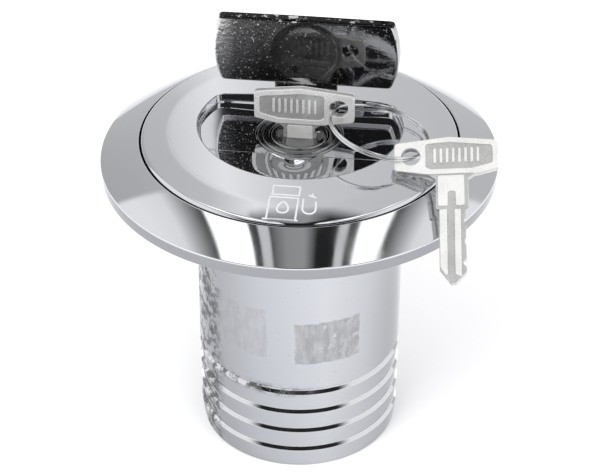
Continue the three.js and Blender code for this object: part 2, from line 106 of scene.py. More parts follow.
BARREL_SINK_R = 10.3
BARREL_SINK_Z = 6.7
BARREL_LIP_R = 10.45
PIN_HOLE_R = 1.15
ROUND = 240


# ---- mesh tools ---------------------------------------------------------------------------
def add_object(name, verts, faces, place=None):
    mesh = bpy.data.meshes.new(name)
    scale = Matrix.Scale(MM, 4)
    if place is not None:
        scale = scale @ place
    mesh.from_pydata([scale @ Vector(v) for v in verts], [], faces)
    built = bmesh.new()
    built.from_mesh(mesh)
    bmesh.ops.remove_doubles(built, verts=built.verts, dist=1e-7)
    bmesh.ops.recalc_face_normals(built, faces=built.faces)
    built.to_mesh(mesh)
    built.free()
    mesh.shade_smooth()
    obj = bpy.data.objects.new(name, mesh)
    bpy.context.scene.collection.objects.link(obj)
    return obj


def skin(name, loops, place=None, closed=False):
    """Joins loops of equal length with quads. The two ends get a fan, or meet if closed is set."""
    count = len(loops[0])
    verts = [point for loop in loops for point in loop]
    faces = []
    rows = len(loops) if closed else len(loops) - 1
    for row in range(rows):
        a = row * count
        b = ((row + 1) % len(loops)) * count
        for i in range(count):
            j = (i + 1) % count
            faces.append((a + i, a + j, b + j, b + i))
    if not closed:
        for start in (0, (len(loops) - 1) * count):
            ring = verts[start:start + count]
            verts.append(tuple(sum(p[k] for p in ring) / count for k in range(3)))
            faces += [(start + i, start + (i + 1) % count, len(verts) - 1) for i in range(count)]
    return add_object(name, verts, faces, place)


def rounded(points, steps=4):
    """A closed outline of (x, y, radius): each corner with a radius becomes an arc."""
    out = []
    for i, (x, y, radius) in enumerate(points):
        here = Vector((x, y))
        before = Vector(points[i - 1][:2]) - here
        after = Vector(points[(i + 1) % len(points)][:2]) - here
        if radius <= 0:
            out.append((x, y))
            continue
        half = before.angle(after) / 2
        reach = min(radius / math.tan(half), before.length * 0.49, after.length * 0.49)
        radius = reach * math.tan(half)
        centre = here + (before.normalized() + after.normalized()).normalized() * radius / math.sin(half)
        start = here + before.normalized() * reach - centre
        end = here + after.normalized() * reach - centre
        turn = start.angle_signed(end)
        for k in range(steps + 1):
            angle = -turn * k / steps
            c, s = math.cos(angle), math.sin(angle)
            spoke = Vector((start.x * c - start.y * s, start.x * s + start.y * c))
            out.append(tuple(centre + spoke))
    return out


def arc(u, v, r, a0, a1, steps):
    spread = [math.radians(a0 + (a1 - a0) * k / steps) for k in range(steps + 1)]
    return [(u + r * math.cos(a), v + r * math.sin(a)) for a in spread]


def spun(name, points, place=None, count=ROUND, steps=4):
    """A solid of revolution about Z from a closed outline of (r, z, corner radius)."""
    profile = rounded(points, steps)
    angles = [2 * math.pi * i / count for i in range(count)]
    loops = [[(r * math.cos(a), r * math.sin(a), z) for a in angles] for r, z in profile]
    return skin(name, loops, place, closed=True)


def cut_with(obj, *tools):
    """Boolean cuts, applied at once; the tools are removed."""
    for tool in tools:
        step = obj.modifiers.new("cut", "BOOLEAN")
        step.operation = "DIFFERENCE"
        step.solver = "EXACT"
        step.object = tool
    bpy.context.view_layer.update()
    result = bpy.data.meshes.new_from_object(obj.evaluated_get(bpy.context.evaluated_depsgraph_get()))
    obj.modifiers.clear()
    obj.data = result
    for tool in tools:
        bpy.data.objects.remove(tool)
    return obj


def block(name, low, high, place=None):
    verts = [(x, y, z) for x in (low[0], high[0]) for y in (low[1], high[1]) for z in (low[2], high[2])]
    faces = [(0, 1, 3, 2), (4, 6, 7, 5), (0, 4, 5, 1), (2, 3, 7, 6), (0, 2, 6, 4), (1, 5, 7, 3)]
    return add_object(name, verts, faces, place)


def rod(name, x, y, r_low, r_high, low, high, place=None, count=48):
    angles = [2 * math.pi * i / count for i in range(count)]
    ends = ((r_low, low), (r_high, high))
    loops = [[(x + r * math.cos(a), y + r * math.sin(a), z) for a in angles] for r, z in ends]
    return skin(name, loops, place)


def smooth_step(low, high, value):
    t = min(1.0, max(0.0, (value - low) / (high - low)))
    return t * t * (3 - 2 * t)


def in_metres(place):
    """The same placement, given in millimetres, for a mesh that is already in metres."""
    return Matrix.Scale(MM, 4) @ place @ Matrix.Scale(1 / MM, 4)


def walk_outline(reach, steps=6000):
    """Fine angles around an outline given by its reach, and the length walked up to each."""
    fine = [2 * math.pi * i / steps for i in range(steps + 1)]
    points = [Vector((reach(a) * math.cos(a), reach(a) * math.sin(a))) for a in fine]
    length = [0.0]
    for p, q in zip(points, points[1:]):
        length.append(length[-1] + (q - p).length)
    return fine, length


def join(objects, name):
    merged = bmesh.new()
    for obj in objects:
        merged.from_mesh(obj.data)
    mesh = bpy.data.meshes.new(name)
    merged.to_mesh(mesh)
    merged.free()
    for obj in objects:
        bpy.data.objects.remove(obj)
    mesh.shade_smooth()
    out = bpy.data.objects.new(name, mesh)
    bpy.context.scene.collection.objects.link(out)
    return out


# ---- materials ----------------------------------------------------------------------------
class Shader:
    """A small wrapper that adds nodes to a Principled material."""

    def __init__(self, name, color, roughness, metallic):
        self.material = bpy.data.materials.new(name)
        self.material.use_nodes = True
        self.nodes = self.material.node_tree.nodes
        self.links = self.material.node_tree.links
        self.bsdf = self.nodes["Principled BSDF"]
        self.bsdf.inputs["Base Color"].default_value = (*color, 1)
        self.bsdf.inputs["Roughness"].default_value = roughness
        self.bsdf.inputs["Metallic"].default_value = metallic
        coords = self.nodes.new("ShaderNodeTexCoord")
        self.place = coords.outputs["Object"]

    def noise(self, scale, detail=4.0, rough=0.55, stretch=None):
        node = self.nodes.new("ShaderNodeTexNoise")
        node.inputs["Scale"].default_value = scale
        node.inputs["Detail"].default_value = detail
        node.inputs["Roughness"].default_value = rough
        source = self.place
        if stretch:
            mapping = self.nodes.new("ShaderNodeMapping")
            mapping.inputs["Scale"].default_value = stretch
            self.links.new(self.place, mapping.inputs["Vector"])
            source = mapping.outputs["Vector"]
        self.links.new(source, node.inputs["Vector"])
        return node.outputs["Fac"]

    def ramp(self, value, stops):
        node = self.nodes.new("ShaderNodeValToRGB")
        ramp = node.color_ramp
        while len(ramp.elements) < len(stops):
            ramp.elements.new(0.5)
        for element, (at, tone) in zip(ramp.elements, stops):
            element.position = at
            element.color = (tone, tone, tone, 1) if isinstance(tone, (int, float)) else (*tone, 1)
        self.links.new(value, node.inputs["Fac"])
        return node.outputs["Color"]

    def math(self, kind, a, b=0.0, c=0.0):
        node = self.nodes.new("ShaderNodeMath")
        node.operation = kind
        for socket, value in zip(node.inputs, (a, b, c)):
            if isinstance(value, (int, float)):
                socket.default_value = value
            else:
                self.links.new(value, socket)
        return node.outputs[0]

    def between(self, value, low, high, soft):
        """1 between low and high, falling to 0 over the soft width at both."""
        up = self.span(value, low - soft, low + soft)
        down = self.span(value, high + soft, high - soft)
        return self.math("MULTIPLY", up, down)

    def span(self, value, low, high, out_low=0.0, out_high=1.0):
        """A smooth step from out_low to out_high as the value goes from low to high."""
        node = self.nodes.new("ShaderNodeMapRange")
        node.interpolation_type = "SMOOTHSTEP"
        node.inputs["From Min"].default_value = low
        node.inputs["From Max"].default_value = high
        node.inputs["To Min"].default_value = out_low
        node.inputs["To Max"].default_value = out_high
        self.links.new(value, node.inputs["Value"])
        return node.outputs["Result"]

    def mix(self, factor, a, b):
        node = self.nodes.new("ShaderNodeMix")
        node.data_type = "RGBA"
        for socket, value in ((node.inputs[0], factor), (node.inputs[6], a), (node.inputs[7], b)):
            if isinstance(value, tuple):
                socket.default_value = (*value, 1)
            elif isinstance(value, (int, float)):
                socket.default_value = value
            else:
                self.links.new(value, socket)
        return node.outputs[2]

    def split(self):
        node = self.nodes.new("ShaderNodeSeparateXYZ")
        self.links.new(self.place, node.inputs[0])
        return node.outputs

    def set(self, socket, value):
        self.links.new(value, self.bsdf.inputs[socket])

    def bump(self, height, strength, distance):
        node = self.nodes.new("ShaderNodeBump")
        node.inputs["Strength"].default_value = strength
        node.inputs["Distance"].default_value = distance
        self.links.new(height, node.inputs["Height"])
        self.links.new(node.outputs["Normal"], self.bsdf.inputs["Normal"])


def shades(color, low, high):
    return tuple(c * low for c in color), tuple(min(1, c * high) for c in color)


def polished_steel(name, color=(0.80, 0.81, 0.84)):
    """Mirror polish with faint smears and hairline wipes."""
    steel = Shader(name, color, 0.06, 1.0)
    smears = steel.noise(60, 5, 0.6, (1, 1, 0.4))
    steel.set("Roughness", steel.ramp(smears, [(0.35, 0.015), (0.62, 0.04), (0.8, 0.1)]))
    clouds = steel.noise(22, 3)
    darker, lighter = shades(color, 0.97, 1.03)
    steel.set("Base Color", steel.mix(clouds, darker, lighter))
    steel.bump(steel.noise(45, 2), 0.02, 0.0006)
    return steel


def body_steel():
    """Polished flange over a duller neck with dried glue patches, dirt and specks; the neck's colour is
    painted shade, darker towards its left and right sides and under the flange, with upward faces left
    bright as painted light.
    """
    steel = Shader("body_polished_steel", (0.80, 0.81, 0.84), 0.06, 1.0)
    x, y, z = steel.split()[:3]
    front = steel.span(y, -0.004, -0.012)
    edge = steel.math("SUBTRACT", steel.noise(420, 5, 0.7), 0.5)

    def patch(x0, x1, z0, z1):
        wobble = steel.math("MULTIPLY", edge, 0.0022)
        across = steel.between(steel.math("ADD", x, wobble), x0, x1, 0.00015)
        up = steel.between(steel.math("ADD", z, wobble), z0, z1, 0.00015)
        return steel.math("MULTIPLY", steel.math("MULTIPLY", across, up), front)

    left_patch = steel.math("MULTIPLY", patch(-0.0185, -0.0080, -0.0405, -0.0265), 0.45)
    glue = steel.math("MAXIMUM", patch(-0.0012, 0.0143, -0.0417, -0.0295), left_patch)
    torn = steel.ramp(steel.noise(300, 6, 0.75), [(0.36, 0.0), (0.42, 1.0)])
    glue = steel.math("MULTIPLY", glue, torn)
    first_barb = steel.between(z, -0.0515, -0.0490, 0.0012)
    left_edge = steel.between(x, -0.0255, -0.0195, 0.0015)
    dirt_zone = steel.math("MAXIMUM", first_barb, left_edge)
    dirt_zone = steel.math("MULTIPLY", dirt_zone, steel.span(z, -0.004, -0.012))
    dirt_zone = steel.math("MULTIPLY", dirt_zone, steel.span(x, 0.006, -0.008))
    flecks = steel.ramp(steel.noise(330, 6, 0.75), [(0.47, 0.0), (0.54, 1.0)])
    dirt = steel.math("MULTIPLY", dirt_zone, flecks)
    specks = steel.ramp(steel.noise(1500, 2, 0.5), [(0.72, 0.0), (0.76, 1.0)])
    specks = steel.math("MULTIPLY", steel.math("MULTIPLY", specks, front), steel.span(z, -0.004, -0.010))
    smears = steel.noise(60, 5, 0.6, (1, 1, 0.3))
    polish = steel.ramp(smears, [(0.35, 0.035), (0.62, 0.08), (0.8, 0.17)])
    clouds = steel.noise(22, 3)
    color = steel.mix(clouds, (0.775, 0.785, 0.815), (0.825, 0.835, 0.865))
    # Painted shade on the neck: below the flange rim the colour gives way to a tint that is darker towards
    # the left and right sides.
    neck = steel.span(z, 0.0031, 0.0026)
    neck_shade_stops = [(0.0, (0.25, 0.255, 0.275)), (0.12, (0.32, 0.325, 0.345)), (0.3, (0.40, 0.41, 0.435))]
    neck_shade_stops += [(0.62, (0.49, 0.50, 0.525)), (0.8, (0.43, 0.44, 0.46)), (1.0, (0.33, 0.335, 0.355))]
    painted_neck_shade = steel.ramp(steel.math("MULTIPLY_ADD", x, 1 / 0.052, 0.5), neck_shade_stops)
    # Painted shade under the flange: its underside, its lower rim and the neck's top just below it are
    # darker still.
    painted_neck_shade = steel.mix(steel.span(z, -0.0008, 0.0), painted_neck_shade, (0.27, 0.275, 0.29))
    # Painted light: faces turned upwards, such as the barb shoulders, keep the bright polished colour
    # instead of the painted shade.
    facing = steel.nodes.new("ShaderNodeSeparateXYZ")
    steel.links.new(steel.nodes.new("ShaderNodeNewGeometry").outputs["Normal"], facing.inputs[0])
    neck = steel.math("MULTIPLY", neck, steel.span(facing.outputs["Z"], 0.35, 0.15))
    color = steel.mix(neck, color, painted_neck_shade)
    streaks = steel.noise(700, 4, 0.7, (1, 1, 0.35))
    mottle = steel.ramp(streaks, [(0.4, (0.27, 0.27, 0.275)), (0.62, (0.40, 0.40, 0.405))])
    color = steel.mix(steel.math("MULTIPLY", glue, 0.75), color, mottle)
    color = steel.mix(steel.math("MULTIPLY", dirt, 0.8), color, (0.05, 0.05, 0.053))
    color = steel.mix(steel.math("MULTIPLY", specks, 0.6), color, (0.2, 0.2, 0.2))
    steel.set("Base Color", color)
    steel.set("Roughness", steel.mix(steel.math("MAXIMUM", glue, dirt), polish, (0.42, 0.42, 0.42)))
    waves = steel.math("MULTIPLY", steel.noise(45, 2), 0.3)
    height = steel.math("ADD", steel.math("MULTIPLY", glue, 0.6), waves)
    steel.bump(height, 0.12, 0.0004)
    return steel


def cast_steel():
    """Polished over a cast skin: orange peel and pin specks to the left; the colour is painted light and
    shade, a bright left rim and a dark middle, and the free edge is painted dark as shade, broken by lighter
    flecks.
    """
    steel = Shader("plate_cast_steel", (0.62, 0.63, 0.64), 0.16, 1.0)
    x, _, z = steel.split()[:3]
    side = steel.span(x, 0.004, -0.014)
    peel = steel.noise(900, 3, 0.6)
    specks = steel.ramp(steel.noise(1900, 2, 0.5), [(0.66, 0.0), (0.7, 1.0)])
    specks = steel.math("MULTIPLY", specks, steel.span(x, 0.02, -0.01, 0.25, 1.0))
    # Painted light and shade across the plate: bright at its left rim, darkest left of the middle, lighter
    # again towards the right.
    tones = [(0.0, 0.9), (0.07, 0.6), (0.15, 0.16), (0.3, 0.11)]
    tones += [(0.42, 0.2), (0.5, 0.3), (1.0, 0.42)]
    tone = steel.ramp(steel.math("MULTIPLY_ADD", x, 1 / 0.044, 0.5), tones)
    # Painted shade along the plate's free top edge: near black, broken by lighter flecks.
    edge_shade_flecks = steel.ramp(steel.noise(260, 5, 0.7), [(0.6, 0.03), (0.63, 0.8)])
    tone = steel.mix(steel.span(z, 0.0304, 0.0307), tone, edge_shade_flecks)
    steel.set("Base Color", steel.mix(specks, tone, (0.85, 0.85, 0.85)))
    rough = steel.math("ADD", steel.math("MULTIPLY", side, 0.2), 0.05)
    steel.set("Roughness", steel.math("ADD", rough, steel.math("MULTIPLY", specks, 0.25)))
    relief = steel.math("MULTIPLY", peel, steel.math("ADD", steel.math("MULTIPLY", side, 0.9), 0.12))
    relief = steel.math("ADD", relief, steel.math("MULTIPLY", specks, 0.3))
    steel.bump(relief, 0.35, 0.0003)
    return steel


def turned_steel(name, color=(0.66, 0.67, 0.68), roughness=0.24):
    """Machined finish: fine rings and soft tone changes."""
    steel = Shader(name, color, roughness, 1.0)
    rings = steel.noise(900, 3, 0.6, (0.15, 0.15, 1))
    steel.set("Roughness", steel.ramp(rings, [(0.3, roughness * 0.7), (0.7, roughness * 1.4)]))
    tone = steel.noise(70, 4)
    darker, lighter = shades(color, 0.86, 1.08)
    steel.set("Base Color", steel.mix(tone, darker, lighter))
    steel.bump(rings, 0.08, 0.0002)
    return steel


def key_metal(name, low, high, metallic):
    """Stamped nickel plate: slightly grainy, with worn patches."""
    metal = Shader(name, high, 0.2, metallic)
    grain = metal.noise(1400, 4, 0.65)
    wear = metal.noise(160, 5, 0.6)
    metal.set("Roughness", metal.ramp(wear, [(0.3, 0.2), (0.7, 0.36)]))
    metal.set("Base Color", metal.mix(wear, low, high))
    metal.bump(grain, 0.16, 0.00025)
    return metal


def brass():
    metal = Shader("satin_brass", (0.72, 0.60, 0.33), 0.3, 1.0)
    tone = metal.noise(120, 4)
    metal.set("Base Color", metal.mix(tone, (0.60, 0.48, 0.25), (0.78, 0.66, 0.38)))
    metal.set("Roughness", metal.ramp(tone, [(0.3, 0.24), (0.7, 0.4)]))
    metal.bump(metal.noise(800, 3), 0.1, 0.0002)
    return metal


def rubber():
    seal = Shader("seal_black_rubber", (0.02, 0.02, 0.021), 0.6, 0.0)
    grain = seal.noise(900, 4)
    seal.set("Roughness", seal.ramp(grain, [(0.3, 0.5), (0.7, 0.75)]))
    seal.set("Base Color", seal.mix(grain, (0.014, 0.014, 0.015), (0.035, 0.035, 0.036)))
    seal.bump(grain, 0.2, 0.0002)
    return seal


def dress(obj, shader, body=None, nodes=()):
    obj.data.materials.clear()
    obj.data.materials.append(shader.material)
    if body:
        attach(obj, body)
    if nodes:
        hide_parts(*nodes)
    return obj


BODY = body_steel()
POLISH = polished_steel("cap_polished_steel")
CAST = cast_steel()
TURNED_STEEL = turned_steel("turned_steel")
LOCK_STEEL = turned_steel("lock_face_steel", (0.42, 0.425, 0.43), 0.12)
WIRE = turned_steel("ring_wire_steel", (0.80, 0.81, 0.82), 0.13)
# One nickel in a lit and a shaded copy: the brighter one is painted light on the raised parts, the darker
# one painted shade on the sunk base.
NICKEL = key_metal("key_nickel", (0.58, 0.58, 0.57), (0.84, 0.835, 0.82), 0.45)
NICKEL_SUNK = key_metal("key_nickel_sunk", (0.36, 0.36, 0.355), (0.62, 0.62, 0.61), 0.6)
BRASS = brass()
RUBBER = rubber()
SYMBOL = turned_steel("symbol_steel", (0.62, 0.63, 0.66), 0.35)
SYMBOL.bsdf.inputs["Metallic"].default_value = 0.25


# ---- deck body ----------------------------------------------------------------------------
def helix_ridge(name, root_r, crest_r, start_z, turns):
    """One thread ridge that fades in and out at its ends."""
    steps = int(turns * 96)
    loops = []
    for k in range(steps + 1):
        turn = turns * k / steps
        fade = min(1.0, k / 12, (steps - k) / 12) * 0.999 + 0.001
        crest = root_r + (crest_r - root_r) * fade
        a = 2 * math.pi * turn
        z = start_z + THREAD_PITCH * turn
        section = [(root_r, -0.75), (crest, -0.35), (crest, 0.35), (root_r, 0.75)]
        loops.append([(r * math.cos(a), r * math.sin(a), z + dz) for r, dz in section])
    return skin(name, loops)


def make_body():
    points = [(NECK_BORE_R, NECK_END, 0.3), (24.5, NECK_END, 0.4)]
    for k in range(BARBS):
        low = NECK_END + k * BARB_PITCH
        points += [(BARB_CREST_R, low + BARB_PITCH - 0.75, 0.28), (BARB_ROOT_R, low + BARB_PITCH, 0.2)]
    top = NECK_END + BARBS * BARB_PITCH
    points += [(BARB_ROOT_R, top + 0.55, 0.2), (NECK_R, top + 1.1, 0.35), (NECK_R, 0, 0.8)]
    points += [(FLANGE_R, 0, 0.3), (FLANGE_R, RIM_TOP, 0.22), (CAP_R + 0.42, SEAM_Z, 0.25)]
    points += [(CAP_R + 0.3, LEDGE_Z, 0.3), (COLLAR_R, LEDGE_Z, 0.3)]
    points += [(COLLAR_R, COLLAR_Z, 0.2), (NECK_BORE_R, COLLAR_Z, 0.4)]
    body = spun("flange_and_neck", points, steps=5)
    tools = []
    for k in range(DECK_SCREWS):
        a = math.radians(45 + 360 / DECK_SCREWS * k)
        x, y = DECK_SCREW_CIRCLE_R * math.cos(a), DECK_SCREW_CIRCLE_R * math.sin(a)
        tools.append(rod("hole", x, y, 2.5, 2.5, -1, 3.5))
        tools.append(rod("sink", x, y, 2.4, 4.9, 0.6, 2.9))
    tools.append(block("slots", (-23.6, -4.6, -24.8), (23.6, 4.6, -14.2), TURNED))
    cut_with(body, *tools)
    dress(body, BODY, "root", ["deck_body"])
    thread = helix_ridge("neck_thread", NECK_BORE_R + 0.1, NECK_BORE_R - 1.3, THREAD_START_Z, 3)
    dress(thread, TURNED_STEEL, "root", ["deck_body"])


# ---- cap ----------------------------------------------------------------------------------
def dome_z(x, y):
    """Upper skin of the cap: a shallow dome with a steeper band around it."""
    r = math.hypot(x, y)
    z = DOME_Z - DOME_DROP * r * r
    if r > BAND_R - 1:
        edge = 0.1 * (r - BAND_R)
        z -= 0.5 * (edge + math.sqrt(edge * edge + 0.002))
    return z


def recess_reach(angle):
    """Distance from the cap's axis to the recess's outline."""
    sine, cosine = math.sin(angle), math.cos(angle)
    shift = RECESS_R - RECESS_FRONT
    front = shift * sine + math.sqrt(RECESS_R ** 2 - (shift * cosine) ** 2)
    reach = min(RECESS_R, front)
    if sine > 0:
        flat = RECESS_BACK / sine
        reach = (reach ** -26 + flat ** -26) ** (-1 / 26)
        if abs(cosine) * RECESS_BACK / sine < NOTCH_HALF:
            reach = max(reach, min(NOTCH_BACK / sine, NOTCH_HALF / max(abs(cosine), 1e-6)))
    return reach


def cap_angles(count=420):
    """Angles spread evenly along the recess's outline, so that its corners stay crisp."""
    fine, length = walk_outline(recess_reach)
    angles = []
    k = 0
    for i in range(count):
        want = length[-1] * i / count
        while length[k + 1] < want:
            k += 1
        t = (want - length[k]) / max(length[k + 1] - length[k], 1e-9)
        angles.append(fine[k] + t * (fine[k + 1] - fine[k]))
    return angles


def floor_z(x, y):
    """Recess floor: the plate's seat, the step in front of it with its scoop, and the tab's notch."""
    notch = smooth_step(8.1, 7.85, abs(x)) * smooth_step(10.7, 11.0, y)
    step = (FINGER_Z - RECESS_Z) * smooth_step(-SEAT_FRONT + 0.12, -SEAT_FRONT - 0.12, y)
    seat = RECESS_Z - 1.9 * notch + step
    away = min(1.0, math.hypot(x, y - SCOOP_W) / SCOOP_R)
    scoop = FINGER_Z - SCOOP_DEPTH * (1 - away) ** 1.6
    return min(seat, scoop)


def make_cap():
    angles = cap_angles()
    spokes = [(math.cos(a), math.sin(a)) for a in angles]
    reaches = [recess_reach(a) for a in angles]

    def circle(r, z):
        return [(r * c, r * s, z) for c, s in spokes]

    loops = [circle(BARREL_HOLE_R, SHELL_UNDER_Z), circle(BARREL_HOLE_R, BARREL_SINK_Z)]
    loops += [circle(BARREL_SINK_R, BARREL_SINK_Z), circle(BARREL_SINK_R, RECESS_Z - 0.2)]
    loops.append(circle(BARREL_LIP_R, RECESS_Z))
    for k in range(1, 91):
        t = k / 90
        loop = []
        for (c, s), reach in zip(spokes, reaches):
            r = BARREL_LIP_R + (reach - WALL_FOOT - BARREL_LIP_R) * t
            loop.append((r * c, r * s, floor_z(r * c, r * s)))
        loops.append(loop)
    for k in range(1, 7):
        a = math.pi / 2 * k / 6
        loop = []
        for (c, s), reach in zip(spokes, reaches):
            r = reach - WALL_FOOT + WALL_FILLET * math.sin(a)
            rise = WALL_FILLET * (1 - math.cos(a))
            foot = floor_z((reach - WALL_FOOT) * c, (reach - WALL_FOOT) * s)
            top = dome_z(reach * c, reach * s)
            loop.append((r * c, r * s, min(foot + rise, top - 0.02)))
        loops.append(loop)
    for k in range(0, 7):
        a = math.pi / 2 * k / 6
        loop = []
        for (c, s), reach in zip(spokes, reaches):
            r = reach + EDGE_ROUND * (1 - math.cos(a))
            top = dome_z(r * c, r * s)
            drop = EDGE_ROUND * (1 - math.sin(a))
            foot = floor_z((reach - WALL_FOOT) * c, (reach - WALL_FOOT) * s)
            z = max(top - drop, min(foot + WALL_FILLET, top - 0.02))
            loop.append((r * c, r * s, z))
        loops.append(loop)
    for k in range(1, 76):
        t = (k / 75) ** 1.15
        loop = []
        for (c, s), reach in zip(spokes, reaches):
            r = reach + EDGE_ROUND + (DOME_END_R - reach - EDGE_ROUND) * t
            loop.append((r * c, r * s, dome_z(r * c, r * s)))
        loops.append(loop)
    edge_z = dome_z(DOME_END_R, 0)
    for k in range(1, 9):
        a = math.pi / 2 * k / 8
        r = DOME_END_R + (CAP_R - DOME_END_R) * math.sin(a)
        loops.append(circle(r, edge_z - 0.22 * math.sin(a) - 0.6 * (1 - math.cos(a))))
    side = [(CAP_R, 7.0, 0), (CAP_R, SHELL_LOW_Z, 0.25), (SHELL_WALL_R, SHELL_LOW_Z, 0.2)]
    side += [(SHELL_WALL_R, SHELL_UNDER_Z, 0.2), (BARREL_HOLE_R, SHELL_UNDER_Z, 0)]
    for r, z in rounded(side):
        loops.append(circle(r, z))
    cap = skin("cap_dome", loops, TURNED, closed=True)
    pin_hole = rod("pin_hole", 0, 0, PIN_HOLE_R, PIN_HOLE_R, -10.6, 10.6)
    across = Matrix.Rotation(math.pi / 2, 4, "Y")
    pin_hole.data.transform(in_metres(TURNED @ Matrix.Translation(PIN) @ across))
    cut_with(cap, pin_hole)
    cap.data.shade_smooth()
    dress(cap, POLISH, "cap", ["cap_shell"])


def bead(name, path, width, height, closed=False):
    """A low raised line that follows the dome: path is a list of (u, w)."""
    points = [Vector(p) for p in path]
    loops = []
    count = len(points)
    for i, p in enumerate(points):
        before = points[i - 1] if (closed or i) else p
        after = points[(i + 1) % count] if (closed or i < count - 1) else p
        along = (after - before).normalized()
        side = Vector((-along.y, along.x))
        loop = []
        for k in range(9):
            a = math.pi * k / 8
            q = p + side * (width / 2) * math.cos(a)
            loop.append((q.x, q.y, dome_z(q.x, q.y) - 0.05 + (height + 0.05) * math.sin(a)))
        loops.append(loop)
    return skin(name, loops, TURNED, closed=closed)


def finer(path, step=0.25, closed=False):
    """The same path with points at most about a step apart."""
    out = []
    ends = list(zip(path, path[1:] + ([path[0]] if closed else [])))
    for p, q in ends:
        p, q = Vector(p), Vector(q)
        n = max(1, int((q - p).length / step))
        out += [tuple(p + (q - p) * k / n) for k in range(n)]
    if not closed:
        out.append(path[-1])
    return out


def make_symbol():
    """A plain pump pictogram on the front of the dome: cabinet, window, drop and hose."""
    left, right, near, far, sill = -2.8, 3.3, -36.2, -25.3, -28.9
    bend = [math.pi * k / 12 for k in range(1, 13)]
    drop_turn = [2 * math.pi * k / 28 for k in range(28)]
    window = [(left, sill + 0.5), (left, far), (right, far), (right, sill + 0.5)]
    cabinet = [(left - 0.4, near), (left - 0.4, sill - 0.4), (right, sill - 0.4), (right, near)]
    drop = []
    for a in drop_turn:
        width = 1.2 * (1 - 0.35 * math.cos(a))
        drop.append((0.1 + width * math.sin(a), -32.5 + 1.7 * math.cos(a)))
    hose = finer([(4.4, -29.2), (4.5, -32.4)])
    hose += [(6.0 - 1.5 * math.cos(a), -32.4 - 1.5 * math.sin(a)) for a in bend]
    hose += finer([(7.5, -32.4), (7.3, -29.9)])[1:]
    parts = [
        (finer(window, closed=True), True),
        (finer(cabinet, closed=True), True),
        (finer([(left - 1.3, near), (right + 0.6, near)]), False),
        (drop, True),
        (hose, False),
        (finer([(5.4, -27.9), (7.3, -28.6)]), False),
        (finer([(6.3, -27.2), (6.4, -28.2)]), False),
    ]
    beads = [bead("symbol_%d" % i, path, 0.5, 0.13, closed) for i, (path, closed) in enumerate(parts)]
    joined = join(beads, "pump_symbol")
    dress(joined, SYMBOL, "cap")


# ---- pull plate ---------------------------------------------------------------------------
PLATE_R = 22.2
PLATE_NEAR = 5.2
PLATE_FAR = 22.6
PLATE_T = 2.2
PLATE_UNDER = -0.2
PLATE_EDGE = 0.7
TAB_HALF = 7.5
TAB_R = 2
DIMPLE_DEPTH = 0.45
OPEN_PLATE = TURNED @ Matrix.Translation(PIN) @ Matrix.Rotation(-math.pi / 2, 4, "X")


def make_plate():
    half = (PLATE_FAR - PLATE_NEAR) / 2
    middle = -(PLATE_FAR + PLATE_NEAR) / 2
    count = 360

    def reach(angle):
        flat = half / max(abs(math.sin(angle)), 1e-6)
        return (PLATE_R ** -60 + flat ** -60) ** (-1 / 60)

    fine, length = walk_outline(reach)
    angles = []
    k = 0
    for i in range(count):
        while length[k + 1] < length[-1] * i / count:
            k += 1
        angles.append(fine[k])

    def loop(scale, inset, z, dimple=False):
        out = []
        for a in angles:
            r = (reach(a) - inset) * scale
            x, y = r * math.cos(a), r * math.sin(a)
            sink = 0.0
            if dimple:
                d = math.hypot(x, y)
                sink = DIMPLE_DEPTH * smooth_step(8.4, 6.4, d)
            out.append((x, middle + y, z + sink))
        return out

    top = PLATE_UNDER + PLATE_T
    under = [math.pi / 2 * k / 6 for k in range(1, 7)]
    over = [math.pi / 2 * k / 5 for k in range(1, 6)]
    loops = [loop(k / 60, PLATE_EDGE, PLATE_UNDER, True) for k in range(1, 61)]
    for a in under:
        loops.append(loop(1, PLATE_EDGE - PLATE_EDGE * math.sin(a), PLATE_UNDER + 0.45 * (1 - math.cos(a))))
    loops += [loop(1, -0.25 * t, PLATE_UNDER + 0.45 + (PLATE_T - 0.85) * t) for t in (0.25, 0.5, 0.75, 1.0)]
    loops += [loop(1, -0.25 + 0.4 * (1 - math.cos(a)), top - 0.4 + 0.4 * math.sin(a)) for a in over]
    loops += [loop(k / 20, 0.15, top) for k in range(19, 0, -1)]
    plate = skin("pull_plate_face", loops, OPEN_PLATE)
    dress(plate, CAST, "plate", ["pull_plate"])

    side = [(-PLATE_NEAR - 1.5, PLATE_UNDER + 0.02), (-2.6, PLATE_UNDER + 0.02)]
    side += arc(0, 0, TAB_R, 215, 450, 20)
    side += [(-PLATE_NEAR - 1.5, top - 0.05)]
    loops = []
    centre = Vector((sum(p[0] for p in side) / len(side), sum(p[1] for p in side) / len(side)))
    end = [(0.3, 0), (0.09, 0.09), (0, 0.3)]
    sections = [(inset, -TAB_HALF + back) for inset, back in end]
    sections += [(inset, TAB_HALF - back) for inset, back in reversed(end)]
    for inset, x in sections:
        loops.append([(x, *(Vector(p) + (centre - Vector(p)).normalized() * inset)) for p in side])
    tab = skin("plate_hinge_tab", loops, OPEN_PLATE)
    hole = rod("hole", 0, 0, PIN_HOLE_R, PIN_HOLE_R, -12, 12)
    hole.data.transform(in_metres(OPEN_PLATE @ Matrix.Rotation(math.pi / 2, 4, "Y")))
    cut_with(tab, hole)
    dress(tab, CAST, "plate", ["pull_plate"])


